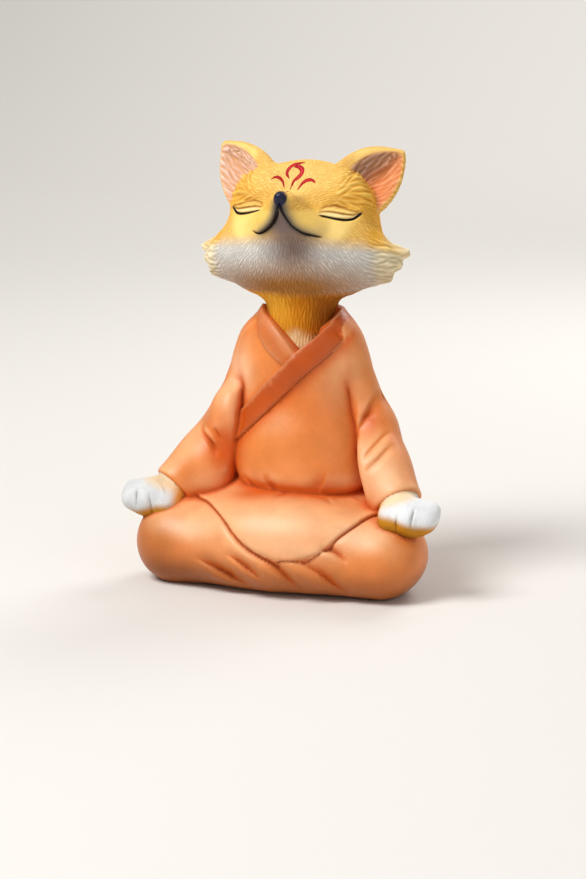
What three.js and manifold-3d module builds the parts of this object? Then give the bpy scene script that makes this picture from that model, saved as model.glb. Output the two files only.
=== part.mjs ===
// A meditating fox figurine in a monk's robe, cast in one piece and flat underneath.
// Units are millimetres. +Z is up, the fox faces -Y, and +X is the fox's own left.
// The origin of the finished part is the middle of its flat underside.
import * as THREE from "three";
import { MarchingCubes } from "three/addons/objects/MarchingCubes.js";
import { SimplifyModifier } from "three/addons/modifiers/SimplifyModifier.js";
import { mergeVertices } from "three/addons/utils/BufferGeometryUtils.js";
import Module from "manifold-3d";

// Driving dimensions
const UNDERSIDE = [0, 4, -3.3]; // its middle, in the measures that the forms are placed in
const KNEE = [33.2, -4, 9]; // the middle of each knee
const KNEE_RADIUS = 12.3;
const SHOULDER = [11.8, 12, 68.2];
const ELBOW = [21.8, 12.2, 43];
const CUFF = [36.5, -3.2, 24.5]; // the middle of the sleeve's open end
const FOREARM = [0.53, -0.54, -0.65]; // its direction, square to the open end
const NECK_Y = 13; // the neck and the spine stand behind the middle
const NECK_RADIUS = 10.7;
const COLLAR_TOP = 80.5; // height of the collar behind the neck
const COLLAR_WIDTH = 7;
const EAR_BASE = [16, 14.5, 116.2];
const EAR_TIP = [29.6, 23.1, 129.6];
const EAR_WIDTH = 19.5;
const EAR_CUP = 4.2; // how far the ear's rims stand before its middle
const EAR_LEAN = 1.5; // how far the fox's left ear leans below its right one, at the tip
const NOSE_TIP = [0.2, -6.9, 115.2];
const CLOTH_STEP = 0.9; // how far one layer of cloth stands over the next

// Sampling and face count
const GRID = 176;
const CELL = [0.63, 0.42, 0.79];
const GRID_CENTRE = [0, 4, 63.7];
const BLOCK = 4; // cells sampled together where no surface is near
const FACES = 9400;

// Forms: each is a function of a point that gives its distance to a surface, negative inside.

// An ellipsoid with its middle at `at` and half sizes `size`.
function ball(at, size) {
  const [cx, cy, cz] = at;
  const [a, b, c] = size;
  return (x, y, z) => {
    const px = (x - cx) / a;
    const py = (y - cy) / b;
    const pz = (z - cz) / c;
    const near = Math.sqrt(px * px + py * py + pz * pz);
    const slope = Math.sqrt((px / a) ** 2 + (py / b) ** 2 + (pz / c) ** 2);
    return slope > 1e-9 ? (near * (near - 1)) / slope : -Math.min(a, b, c);
  };
}

// Two balls with the cone that wraps them.
function limb(from, fromRadius, to, toRadius) {
  const [ax, ay, az] = from;
  const [dx, dy, dz] = [to[0] - ax, to[1] - ay, to[2] - az];
  const length = Math.hypot(dx, dy, dz);
  const taper = (fromRadius - toRadius) / length;
  const slant = Math.sqrt(1 - taper * taper);
  return (x, y, z) => {
    const px = x - ax;
    const py = y - ay;
    const pz = z - az;
    const along = (px * dx + py * dy + pz * dz) / length;
    const off = Math.sqrt(Math.max(0, px * px + py * py + pz * pz - along * along));
    const foot = along - (off * taper) / slant;
    if (foot < 0) return Math.hypot(along, off) - fromRadius;
    if (foot > length) return Math.hypot(along - length, off) - toRadius;
    return off * slant + along * taper - fromRadius;
  };
}

// Joins two distances, with a fillet of about the given radius.
function softMin(a, b, radius) {
  const h = Math.max(radius - Math.abs(a - b), 0) / radius;
  return Math.min(a, b) - (h * h * radius) / 4;
}

// Keeps only what two distances share, with a rounded edge.
const softMax = (a, b, radius) => -softMin(-a, -b, radius);

// Several forms joined with fillets.
function blend(radius, ...forms) {
  return (x, y, z) => forms.reduce((d, form) => softMin(d, form(x, y, z), radius), 1e3);
}

// The same form on both sides, joined in the middle with a fillet.
function pair(form, radius) {
  return (x, y, z) => softMin(form(x, y, z), form(-x, y, z), radius);
}

// Rises smoothly from 0 to 1 as value goes from low to high.
const ramp = THREE.MathUtils.smoothstep;

// A line drawn on the front through points of [x, z]. For a point seen from the front it gives
// how far left of the line it lies (negative to the right) and how far along, from 0 to 1.
function drawn(...points) {
  const curve = new THREE.SplineCurve(points.map(([x, z]) => new THREE.Vector2(x, z)));
  const steps = curve.getPoints(5 * (points.length - 1));
  const count = steps.length - 1;
  return (x, z) => {
    let nearest = 1e9;
    let left = 0;
    let along = 0;
    for (let i = 0; i < count; i++) {
      const a = steps[i];
      const dx = steps[i + 1].x - a.x;
      const dz = steps[i + 1].y - a.y;
      const share = ((x - a.x) * dx + (z - a.y) * dz) / (dx * dx + dz * dz);
      const t = Math.min(1, Math.max(0, share));
      const gap = Math.hypot(x - a.x - t * dx, z - a.y - t * dz);
      if (gap < nearest) {
        nearest = gap;
        left = dx * (z - a.y) - dz * (x - a.x) > 0 ? gap : -gap;
        along = (i + t) / count;
      }
    }
    return { left, along };
  };
}

// A crease pressed along a drawn line, deepest in the middle of its length.
function crease(line, width, depth) {
  return (x, z) => {
    const { left, along } = line(x, z);
    return -depth * Math.exp(-((left / width) ** 2)) * Math.sin(Math.PI * along) ** 0.8;
  };
}

// The robe: trunk, sleeves and folded legs
const trunk = blend(
  7,
  ball([1, 8, 38], [21.5, 17, 16]),
  ball([4.5, 4.5, 30], [19.5, 16, 8]),
  ball([0.5, 9.5, 56], [18.5, 13, 22]),
  limb([-7, NECK_Y, 67], 9.3, [7, NECK_Y, 67], 9.3),
  limb([0, NECK_Y, 66], 13.9, [0, NECK_Y, COLLAR_TOP + 2.5], 10.7),
);

const sleeve = blend(
  6,
  limb(SHOULDER, 8.1, ELBOW, 8),
  limb(ELBOW, 8, [38.1, -4.8, 22.5], 7.3),
  ball([25.5, 5, 30], [10.5, 12, 12]),
);
// The cloth of its right sleeve hangs fuller inside the elbow.
const elbowFold = ball([-19, 4, 43], [8.5, 9.3, 14]);
// How far a point lies past the open end of the sleeve.
const cuffEnd = (...p) => p.reduce((past, value, axis) => past + (value - CUFF[axis]) * FOREARM[axis], 0);

const legs = blend(
  7,
  pair(limb([14, 9, 11], 15, KNEE, KNEE_RADIUS), 8),
  limb([-33, -9, 8.3], 11.6, [-4, -16, 8], 8.6),
  ball([0, 11.5, 15], [29, 21.5, 17]),
  ball([0, 5, 6], [38, 23, 12]),
);
const frontShin = limb([33.2, -10.5, 8.3], 11.6, [2, -16.5, 7.5], 8.6);
const apron = ball([2, -6.5, 11.5], [34, 19, 15]);

// Lines of the drapery, as [x, z]
const neckRight = drawn(
  ...[[-13.5, 83], [-9.9, 79.4], [-6.1, 77.1], [-3, 74.7], [0.1, 71.7], [2.5, 69], [5.5, 65.5]],
);
const neckLeft = drawn([-1, 64.8], [3, 68.4], [7.4, 71.8], [9.9, 74.3], [12, 77], [12.8, 79], [13.2, 84]);
const lapelTop = drawn([-19, 46.5], [-14.5, 50.5], [-6.5, 58.4], [-0.8, 64.1], [3, 68.2], [12, 77]);
const lapelFoot = drawn(
  ...[[-20, 37], [-13.5, 42.6], [-7.2, 48.4], [6.5, 61.8], [12.9, 67.8], [16.4, 72.2], [18.5, 77]],
);
const underLapel = drawn([-0.3, 64.6], [-2.9, 66.2], [-6, 68.6], [-9.8, 72.6], [-12, 77]);
// Where each sleeve ends beside the trunk, from the armpit down to the lap
const rightArmEdge = drawn(
  ...[[-16.6, 62], [-16.3, 58], [-15.7, 49.5], [-15.1, 45], [-15.5, 38.3], [-17.2, 30], [-20, 20]],
);
const leftArmEdge = drawn(
  ...[[19.2, 62], [19.4, 56.8], [20, 47.8], [21.2, 42.2], [25, 32], [26.4, 27], [27.5, 20]],
);
const bellyCreases = [
  crease(drawn([-6.5, 33], [-4.4, 30.6], [-2.5, 28.8]), 1.2, 0.7),
];
const sleeveCreases = [
  crease(drawn([-28.5, 42], [-24.9, 39.9], [-23, 37.8], [-22.2, 35.6]), 1.2, 0.9),
  crease(drawn([24.4, 53.2], [23.7, 50.3], [22.8, 47.9], [21.4, 43.3]), 1.7, 1.1),
  crease(drawn([30, 43.9], [27.9, 40.7], [25.7, 37.4]), 1.1, 0.6),
  crease(drawn([32.1, 40.6], [30, 37.6], [27.4, 34.7]), 1.1, 0.8),
];
const legCreases = [
  crease(drawn([-20.2, 6.8], [-15.6, 4.7], [-12, 3], [-9.1, 1.6], [-4.6, 0.6]), 1.8, 1.2),
  crease(drawn([-9.2, 9.2], [-5.5, 7], [-3.3, 5.5], [-1, 4.2]), 1.4, 0.9),
  crease(drawn([-11.8, 18.1], [-4.1, 12.5], [0.6, 9.9], [4.9, 7.1], [8.7, 3.7]), 1.8, 0.9),
  crease(drawn([1.7, 11.4], [3.8, 8.6], [6.5, 5.8], [9.8, 2.1], [11.9, -0.3]), 1.8, 0.9),
  crease(drawn([13.1, 9.5], [17.7, 6.5], [21.5, 2.9], [25.1, 0.2]), 1.7, 1),
  crease(drawn([19.5, 13.4], [22.8, 12.5], [25.5, 10.5]), 1.4, 0.7),
];
// The fold of cloth over the lap runs from its top down its front, so its edge is drawn as [x, y + z].
const apronEdge = drawn(
  [-30, 20], [-26.5, 15.9], [-22.4, 12.1], [-17.3, 5.2], [-12.7, -1.4], [-8.3, -7.9],
  [-3.2, -13.1], [3.7, -15.9], [8.7, -15.8], [13.5, -14.7],
  [19.5, -10.1], [23.4, -3], [26.5, 3.3], [29.6, 11.9], [33, 16],
);

// How far a point lies inside the opening of the collar.
function neckOpening(x, y, z) {
  const front = Math.min(neckRight(x, z).left, neckLeft(x, z).left);
  return THREE.MathUtils.lerp(z - COLLAR_TOP, front, ramp(-y, -14, -10));
}

// How far the cloth of the trunk stands out at a point.
function trunkRelief(x, y, z) {
  const front = ramp(-y, -14, -10);
  const top = lapelTop(x, z).left;
  const over = ramp(-top, -0.5, 0.5) * ramp(lapelFoot(x, z).left, -0.5, 0.5);
  const under = 0.7 * ramp(top, -0.3, 0.3) * ramp(-underLapel(x, z).left, -0.4, 0.4);
  const behind = ramp(z - COLLAR_TOP + COLLAR_WIDTH, -0.5, 0.5);
  let height = CLOTH_STEP * THREE.MathUtils.lerp(behind, Math.max(over, under), front);
  for (const fold of bellyCreases) height += fold(x, z) * front;
  return height;
}

const robe = (x, y, z) => {
  const wide = Math.abs(x);
  let arm = sleeve(wide, y, z);
  const clear = ramp(arm, 0.3, 2.5); // no layer of cloth stands out beside the sleeves
  arm = softMin(arm, elbowFold(x, y, z), 4);
  if (Math.abs(arm) < 4 && y < 14) for (const fold of sleeveCreases) arm -= fold(x, z);
  if (arm < 6 && y < 10 && z < 66) {
    const past = x < 0 ? rightArmEdge(x, z).left : -leftArmEdge(x, z).left;
    arm = softMax(arm, past - 30 * ramp(y, 4, 10) - 9 * ramp(z, 53, 66), 2.5);
  }
  arm = softMax(arm, cuffEnd(wide, y, z), 0.9);

  let body = trunk(x, y, z);
  if (Math.abs(body) < 4) body -= trunkRelief(x, y, z) * clear;
  if (Math.abs(body) < 6 && z > 60) body = softMax(body, neckOpening(x, y, z), 0.6);

  let lap = legs(x, y, z);
  const shin = frontShin(x, y, z);
  lap = softMin(softMin(lap, shin, 3), apron(x, y, z), 4);
  if (Math.abs(lap) < 4 && y < 6) {
    const front = ramp(-y, -6, 0);
    for (const fold of legCreases) lap -= fold(x, z) * front;
    lap -= CLOTH_STEP * ramp(apronEdge(x, y + z).left, -0.5, 0.5) * front;
  }
  // The sleeves run smoothly into the shoulders and stand apart from the trunk below.
  return softMin(softMin(body, arm, 1 + 5 * ramp(z, 55, 66)), lap, 1.5);
};

// The fox: head, ears, neck and paws
const skull = blend(
  6,
  ball([0, 18, 107], [22.5, 14.2, 18]),
  ball([0, 12.5, 97.5], [26, 15.5, 15]),
  limb([0, 10, 96], 12, [0.2, -3.2, 112.4], 4),
  ball([13, 12, 112.5], [9, 6, 9.3]),
  ball([-13, 12, 112.5], [9, 6, 9.3]),
);
const lips = pair(limb([1, -4.2, 111.6], 3.1, [8.2, 0, 105.6], 3.6), 1);
const cheeks = pair(
  blend(
    1.5,
    limb([10, 10.5, 98], 13.4, [24, 11, 95.5], 6),
    limb([24, 11.5, 97.2], 5, [32.5, 14.7, 97.8], 1.4),
    limb([24, 11, 95], 5, [30.4, 12.6, 94.4], 1.9),
    limb([23, 10.5, 92.8], 4.8, [27.8, 10.8, 91], 2),
  ),
  8,
);
const nose = ball(NOSE_TIP, [2.1, 2.1, 2]);
const neck = limb([0, NECK_Y, 60], NECK_RADIUS, [0, NECK_Y, 92], NECK_RADIUS);

const eyelid = ball([14.4, 9.2, 110.6], [6.6, 4.6, 3.3]);
const lidFoot = drawn([9.4, 110], [12.2, 109.3], [15, 108.5], [17.9, 108.1], [19.2, 108.6], [21, 110.2]);
const lashes = crease(lidFoot, 0.7, 0.8);
const mouth = drawn([0, 113.6], [1.7, 109.4], [3.8, 106.5], [6.4, 104.4], [8.6, 103.7], [11.8, 105.4]);

// The ear's own directions: up to the tip, across from the outer edge to the inner, and out of the cup.
const earUp = new THREE.Vector3(...EAR_TIP).sub(new THREE.Vector3(...EAR_BASE));
const EAR_LENGTH = earUp.length();
earUp.normalize();
const earAcross = new THREE.Vector3(-0.733, 0.01, 0.68);
earAcross.addScaledVector(earUp, -earAcross.dot(earUp)).normalize();
const earOut = new THREE.Vector3().crossVectors(earUp, earAcross);
const EAR_WIDEST = 2; // how far up from its base
const earArc = ((EAR_LENGTH - EAR_WIDEST) ** 2 + EAR_WIDTH ** 2 / 4) / EAR_WIDTH;
const earArcMiddle = earArc - EAR_WIDTH / 2;

// A leaf between two arcs, cupped forward at both rims.
function ear(x, y, z) {
  const p = new THREE.Vector3(x - EAR_BASE[0], y - EAR_BASE[1], z - EAR_BASE[2]);
  const up = p.dot(earUp);
  const across = p.dot(earAcross);
  const inner = Math.hypot(up - EAR_WIDEST, across + earArcMiddle) - earArc;
  const outer = Math.hypot(up - EAR_WIDEST, across - earArcMiddle) - earArc;
  const outline = softMax(inner, outer, 1);
  const hollow = softMax(inner + 4 * (1 - up / EAR_LENGTH), outer, 2);
  const out = p.dot(earOut) + EAR_CUP * ramp(-hollow, 0, EAR_WIDTH * 0.35);
  const thick = 2.4 - (0.9 * up) / EAR_LENGTH;
  return softMax(softMax(outline, -up - 7, 2), (Math.abs(out) - thick) * 0.8, 2.2);
}

const paw = blend(
  2,
  limb([35, -1.6, 26.2], 6.4, [38.5, -6, 22.5], 5.6),
  ball([41.1, -9.5, 22], [9.1, 6, 6.2]),
  blend(
    0.8,
    limb([47.9, -8, 24], 2.9, [47.3, -11.5, 21.8], 3),
    limb([44.3, -9, 24.3], 2.5, [42, -12.8, 21.5], 3.1),
    limb([40, -9.5, 23.6], 2.5, [36.2, -12.3, 20.8], 2.9),
  ),
);

const fur = (x, y, z) => {
  const wide = Math.abs(x);
  let head = softMin(skull(x, y, z), cheeks(x, y, z), 4);
  head = softMin(head, lips(x, y, z), 3);
  if (Math.abs(head) < 4 && y < 14 && z > 94) {
    head = softMin(head, eyelid(wide, y, z), 0.8);
    head -= lashes(wide, z);
    const { left, along } = mouth(wide, z);
    const overhang = 0.7 * ramp(left, -0.4, 0.4) * Math.exp(-((left / 5) ** 2));
    const groove = 0.4 * Math.exp(-((left / 0.7) ** 2));
    head -= (overhang - groove) * ramp(1 - along, 0, 0.12) * ramp(-y, -8, -4);
  }
  const lean = x > 0 ? EAR_LEAN * ramp(x, EAR_BASE[0], EAR_TIP[0]) : 0;
  head = softMin(head, ear(wide, y, z + lean), 1.3);
  head = softMin(softMin(head, neck(x, y, z), 4), nose(x, y, z), 0.8);
  return Math.min(head, paw(wide, y, z));
};

// Below the underside a little is kept for the flat cut.
const solid = (x, y, z) => Math.max(softMin(robe(x, y, z), fur(x, y, z), 0.5), UNDERSIDE[2] - 0.7 - z);

// Turns the forms into one closed mesh.
function meshOf(form) {
  const cubes = new MarchingCubes(GRID, new THREE.MeshStandardMaterial(), false, false, 400000);
  cubes.isolation = 0;
  const place = (i, axis) => (i - GRID / 2) * CELL[axis] + GRID_CENTRE[axis];
  const sample = (i, j, k) => form(place(i, 0), place(j, 1), place(k, 2));
  const far = BLOCK * Math.hypot(...CELL);
  const half = BLOCK / 2;
  for (let k = 0; k < GRID; k += BLOCK) {
    for (let j = 0; j < GRID; j += BLOCK) {
      for (let i = 0; i < GRID; i += BLOCK) {
        const middle = sample(i + half, j + half, k + half);
        for (let n = 0; n < BLOCK ** 3; n++) {
          const a = i + (n % BLOCK);
          const b = j + (Math.floor(n / BLOCK) % BLOCK);
          const c = k + Math.floor(n / BLOCK ** 2);
          const d = Math.abs(middle) > far ? middle : sample(a, b, c);
          cubes.field[a + GRID * (b + GRID * c)] = -d;
        }
      }
    }
  }
  cubes.update();
  const soup = new THREE.BufferGeometry();
  const positions = cubes.positionArray.slice(0, cubes.count * 3);
  soup.setAttribute("position", new THREE.BufferAttribute(positions, 3));
  soup.scale(...CELL.map((cell) => (cell * GRID) / 2));
  soup.translate(...GRID_CENTRE);
  return mergeVertices(soup, 1e-4);
}

const dense = meshOf(solid);
const vertices = dense.getAttribute("position").count;
const light = await new SimplifyModifier().modify(dense, vertices - FACES / 2);

// The underside is cut flat: only what stands above it stays.
const wasm = await Module();
wasm.setup();

function solidOf(geometry) {
  return new wasm.Manifold(new wasm.Mesh({
    numProp: 3,
    vertProperties: geometry.getAttribute("position").array,
    triVerts: new Uint32Array(geometry.index.array),
  }));
}

const above = new THREE.BoxGeometry(200, 200, 200).deleteAttribute("normal").deleteAttribute("uv");
above.translate(0, 0, 100 + UNDERSIDE[2]);
const cut = solidOf(light).intersect(solidOf(mergeVertices(above))).getMesh();
const geometry = new THREE.BufferGeometry();
geometry.setAttribute("position", new THREE.BufferAttribute(cut.vertProperties, 3));
geometry.setIndex(new THREE.BufferAttribute(cut.triVerts, 1));
geometry.translate(...UNDERSIDE.map((middle) => -middle));

const root = new THREE.Group();
const mesh = new THREE.Mesh(geometry, new THREE.MeshStandardMaterial({ color: 0xe8894a, roughness: 0.5 }));
mesh.name = "fox_figurine";
root.add(mesh);
export default root;
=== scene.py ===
import math

import bmesh
import bpy
import numpy as np
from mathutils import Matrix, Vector, kdtree


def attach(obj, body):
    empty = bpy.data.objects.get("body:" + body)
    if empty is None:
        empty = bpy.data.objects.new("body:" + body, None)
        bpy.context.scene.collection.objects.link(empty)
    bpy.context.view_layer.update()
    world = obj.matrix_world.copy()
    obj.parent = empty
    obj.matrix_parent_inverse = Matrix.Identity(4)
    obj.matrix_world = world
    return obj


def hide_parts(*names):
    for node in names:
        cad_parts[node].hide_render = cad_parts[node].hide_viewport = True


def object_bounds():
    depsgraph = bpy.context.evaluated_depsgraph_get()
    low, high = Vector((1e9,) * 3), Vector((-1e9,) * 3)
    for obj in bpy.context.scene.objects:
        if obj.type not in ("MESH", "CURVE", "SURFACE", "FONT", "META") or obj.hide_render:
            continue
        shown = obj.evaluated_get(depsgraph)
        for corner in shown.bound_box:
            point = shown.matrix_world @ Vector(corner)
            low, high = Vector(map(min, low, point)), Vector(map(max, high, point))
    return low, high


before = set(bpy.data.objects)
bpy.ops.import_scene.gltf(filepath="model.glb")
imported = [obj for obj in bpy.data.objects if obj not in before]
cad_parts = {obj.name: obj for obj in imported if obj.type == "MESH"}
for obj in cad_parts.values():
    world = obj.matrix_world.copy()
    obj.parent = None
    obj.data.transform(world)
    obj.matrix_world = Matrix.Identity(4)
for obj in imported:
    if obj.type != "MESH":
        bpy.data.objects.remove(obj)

bl_info = {
    "name": "Meditating Fox Figurine",
    "version": (1, 0, 0),
    "blender": (4, 5, 0),
    "location": "3D View > Sidebar > Fox",
    "description": "Carves and paints a meditating fox figurine of cast resin",
    "category": "Object",
}

CAD_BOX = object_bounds()
NODE = "fox_figurine"
MM = 0.001
# The forms are placed in millimetres, in measures of their own. This is the frame's origin, the
# middle of the underside, in those measures.
MIDDLE = np.array([0, 4, -3.3])
FAR = 9  # further from a painted line than its paint reaches


# Distances to forms, negative inside. Throughout, p is an array of places and n the normals there.

def dots(a, b):
    """The dot product of each row of a with the same row of b."""
    return np.einsum("ij,ij->i", a, b)


def ball(at, size):
    """An ellipsoid with its middle and half sizes."""
    at, size = np.array(at), np.array(size)

    def distance(p):
        q = (p - at) / size
        near = np.sqrt(dots(q, q))
        slope = np.sqrt(dots(q / size, q / size))
        return near * (near - 1) / np.maximum(slope, 1e-9)
    return distance


def limb(start, start_radius, end, end_radius):
    """Two balls with the cone that wraps them."""
    start, end = np.array(start), np.array(end)
    length = np.linalg.norm(end - start)
    axis = (end - start) / length
    taper = (start_radius - end_radius) / length
    slant = math.sqrt(1 - taper * taper)

    def distance(p):
        q = p - start
        along = q @ axis
        off = np.sqrt(np.maximum(dots(q, q) - along**2, 0))
        foot = along - off * taper / slant
        first = np.hypot(along, off) - start_radius
        last = np.hypot(along - length, off) - end_radius
        cone = off * slant + along * taper - start_radius
        return np.where(foot < 0, first, np.where(foot > length, last, cone))
    return distance


def soft_min(a, b, radius):
    """Joins two distances, with a fillet of about the given radius."""
    h = np.maximum(radius - np.abs(a - b), 0) / radius
    return np.minimum(a, b) - h * h * radius / 4


def soft_max(a, b, radius):
    """Keeps what two distances share, with a rounded edge."""
    return -soft_min(-a, -b, radius)


def blend(radius, *forms):
    """Several forms joined with fillets."""
    def distance(p):
        joined = forms[0](p)
        for form in forms[1:]:
            joined = soft_min(joined, form(p), radius)
        return joined
    return distance


def mirrored(p):
    """The same places on the fox's other side."""
    return p * (-1, 1, 1)


def one_side(p):
    """Both sides folded onto the fox's own left."""
    return np.column_stack([np.abs(p[:, 0]), p[:, 1], p[:, 2]])


def pair(form, radius):
    """The same form on both sides, joined in the middle with a fillet."""
    return lambda p: soft_min(form(p), form(mirrored(p)), radius)


def ramp(value, low, high):
    """Rises smoothly from 0 to 1 as value goes from low to high."""
    t = np.clip((value - low) / (high - low), 0, 1)
    return t * t * (3 - 2 * t)


def drawn(*points, steps=6):
    """A line drawn on the front. For places there it gives how far left of the line they lie, in
    millimetres and negative to the right, and how far along, from 0 to 1."""
    knots = np.array([points[0], *points, points[-1]], float)
    t = np.arange(steps)[:, None] / steps
    line = []
    for a, b, c, d in zip(knots, knots[1:], knots[2:], knots[3:]):
        u, v = (c - a) / 2, (d - b) / 2
        line.extend((2 * b - 2 * c + u + v) * t**3 + (3 * c - 3 * b - 2 * u - v) * t**2 + u * t + b)
    line.append(knots[-1])
    line = np.array(line)
    count = len(line) - 1

    def place(x, z):
        nearest = np.full(len(x), 1e9)
        left = np.zeros(len(x))
        along = np.zeros(len(x))
        for i in range(count):
            (dx, dz), px, pz = line[i + 1] - line[i], x - line[i][0], z - line[i][1]
            share = np.clip((px * dx + pz * dz) / (dx * dx + dz * dz), 0, 1)
            gap = np.hypot(px - share * dx, pz - share * dz)
            closer = gap < nearest
            side = np.where(dx * pz - dz * px > 0, gap, -gap)
            nearest = np.where(closer, gap, nearest)
            left = np.where(closer, side, left)
            along = np.where(closer, (i + share) / count, along)
        return left, along
    return place


def bell(value, width):
    """Falls smoothly from 1 where value is 0 to about a third one width away."""
    return np.exp(-((value / width) ** 2))


def crease(line, width, depth, broad=None):
    """A crease pressed along a drawn line, deepest in the middle of its length. Its left side can
    be broader than its right, as where cloth hangs over itself. A negative depth raises a ridge."""
    def height(x, z):
        left, along = line(x, z)
        side = np.where(left > 0, broad or width, width)
        return -depth * bell(left, side) * np.sin(np.pi * np.clip(along, 0, 1)) ** 1.3
    return height


# Driving dimensions, as in the solid
KNEE, KNEE_RADIUS = (33.2, -4, 9), 12.3
SHOULDER, ELBOW, CUFF = (11.8, 12, 68.2), (21.8, 12.2, 43), np.array([36.5, -3.2, 24.5])
NECK_Y, NECK_RADIUS = 13, 10.7
COLLAR_TOP, COLLAR_WIDTH = 80.5, 7
EAR_BASE, EAR_TIP = np.array([16, 14.5, 116.2]), np.array([29.6, 23.1, 129.6])
EAR_WIDTH = 19.5
EAR_CUP = 4.2  # how deep the ear is cupped
EAR_LEAN = 1.5  # how much lower the tip of its left ear is
EAR_WIDEST = 2  # how far up from its base the ear is broadest
NOSE_TIP = (0.2, -6.9, 115.2)
CLOTH_STEP = 0.9  # how far a layer of cloth stands out over the next
EDGE = 0.3  # half the width over which one layer of cloth steps down to the next
PAW = (41.1, -9.5, 22)

# The robe
trunk = blend(
    7,
    ball((1, 8, 38), (21.5, 17, 16)),
    ball((4.5, 4.5, 30), (19.5, 16, 8)),
    ball((0.5, 9.5, 56), (18.5, 13, 22)),
    limb((-7, NECK_Y, 67), 9.3, (7, NECK_Y, 67), 9.3),
    limb((0, NECK_Y, 66), 13.9, (0, NECK_Y, COLLAR_TOP + 2.5), 10.7),
)
sleeve = blend(
    6,
    limb(SHOULDER, 8.1, ELBOW, 8),
    limb(ELBOW, 8, (38.1, -4.8, 22.5), 7.3),
    ball((25.5, 5, 30), (10.5, 12, 12)),
)
# The cloth of its right sleeve hangs fuller inside the elbow.
elbow_fold = ball((-19, 4, 43), (8.5, 9.3, 14))
legs = blend(
    7,
    pair(limb((14, 9, 11), 15, KNEE, KNEE_RADIUS), 8),
    limb((-33, -9, 8.3), 11.6, (-4, -16, 8), 8.6),
    ball((0, 11.5, 15), (29, 21.5, 17)),
    ball((0, 5, 6), (38, 23, 12)),
)
front_shin = limb((33.2, -10.5, 8.3), 11.6, (2, -16.5, 7.5), 8.6)
apron = ball((2, -6.5, 11.5), (34, 19, 15))

# Lines of the drapery, as (x, z)
neck_right = drawn((-13.5, 83), (-9.9, 79.4), (-6.1, 77.1), (-3, 74.7), (0.1, 71.7), (2.5, 69), (5.5, 65.5))
neck_left = drawn((-1, 64.8), (3, 68.4), (7.4, 71.8), (9.9, 74.3), (12, 77), (12.8, 79), (13.2, 84))
lapel_top = drawn((-19, 46.5), (-14.5, 50.5), (-6.5, 58.4), (-0.8, 64.1), (3, 68.2), (12, 77))
lapel_foot = drawn(
    (-20, 37), (-13.5, 42.6), (-7.2, 48.4), (6.5, 61.8), (12.9, 67.8), (16.4, 72.2), (18.5, 77)
)
under_lapel = drawn((-0.3, 64.6), (-2.9, 66.2), (-6, 68.6), (-9.8, 72.6), (-12, 77))
# Where each sleeve ends beside the trunk, from the armpit down to the lap
right_arm_edge = drawn(
    (-16.6, 62), (-16.3, 58), (-15.7, 49.5), (-15.1, 45), (-15.5, 38.3), (-17.2, 30), (-20, 20)
)
left_arm_edge = drawn(
    (19.2, 62), (19.4, 56.8), (20, 47.8), (21.2, 42.2), (25, 32), (26.4, 27), (27.5, 20)
)
belly_creases = [
    crease(drawn((-4.2, 32.6), (-2.6, 29.3), (-1.2, 27.8), (0.2, 26)), 0.6, 0.9, 1.7),
    crease(drawn((15, 34.5), (14.1, 30.8), (13.2, 28.9), (11.9, 26.6)), 2.6, 0.6, 0.7),
    crease(drawn((-13, 30.4), (-10, 28.2), (-8.1, 27), (-5, 26)), 0.6, 0.6, 1.2),
]
# The sharpest folds, with a thin painted shadow line in each
elbow_right = drawn((-29.6, 43), (-24.9, 39.9), (-23, 37.8), (-21.8, 34.6))
elbow_left = drawn((25.6, 56.6), (23.8, 50.3), (22.8, 47.9), (21, 41.5))
shin_outer = drawn((-23, 8), (-17.8, 5.9), (-12, 3), (-9.1, 1.6), (-3, 0))
shin_inner = drawn((-11.5, 10.6), (-7.5, 8.3), (-3.3, 5.5), (1, 2.9))
thigh_low = drawn((11, 10.6), (17.7, 6.5), (21.5, 2.9), (26.5, -0.6))
thigh_high = drawn((17.5, 13.9), (22.8, 12.5), (27, 9.3))
sleeve_creases = [
    crease(elbow_right, 0.55, 1.1, 1.4),
    crease(drawn((-28, 44), (-23.9, 41.4), (-21, 37.6)), 0.8, -0.6),
    crease(drawn((-22.8, 44.3), (-20, 40)), 0.7, 0.6),
    crease(drawn((-20.5, 45), (-19.1, 38.3), (-18.4, 31)), 3.6, 1),
    crease(elbow_left, 0.7, 1.5, 2.8),
    crease(drawn((31, 45), (27.9, 40.7), (25, 36.6)), 0.7, 0.5),
    crease(drawn((33, 41.9), (30, 37.6), (26.6, 34)), 0.7, 0.7, 1.5),
]
leg_creases = [
    crease(shin_outer, 0.6, 2, 3.2),
    crease(drawn((-24, 8), (-18.2, 3.8), (-14.1, 1.3), (-9.6, 0.3), (-5, -0.6)), 1.6, -0.6),
    crease(shin_inner, 0.5, 1.5, 2.2),
    crease(drawn((-11, 8.8), (-6.1, 5.8), (-3.7, 3.7), (0, 2)), 1.1, -0.4),
    crease(drawn((-15, 21), (-8.3, 15.5), (-4.1, 12.5), (0.6, 9.9), (4.9, 7.1), (11, 1.6)), 1, 1.4, 1.2),
    crease(drawn((-16, 18.5), (-5.9, 11.7), (0.6, 7.7), (5.5, 4.4), (10, 0.6)), 1.9, -0.8),
    crease(drawn((0.2, 12.6), (3.8, 8.6), (6.5, 5.8), (9.8, 2.1), (13, -1)), 1, 1.4, 1.9),
    crease(drawn((3.4, 9.6), (9.2, 9), (13.4, 6.2), (18.9, 2.2), (24, -0.4)), 1.6, -0.8),
    crease(thigh_low, 0.6, 1.6, 2.8),
    crease(thigh_high, 0.5, 1.2, 1.6),
    crease(drawn((16.8, 12.7), (21.5, 11.3), (25.5, 8.6)), 1, -0.4),
]
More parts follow.
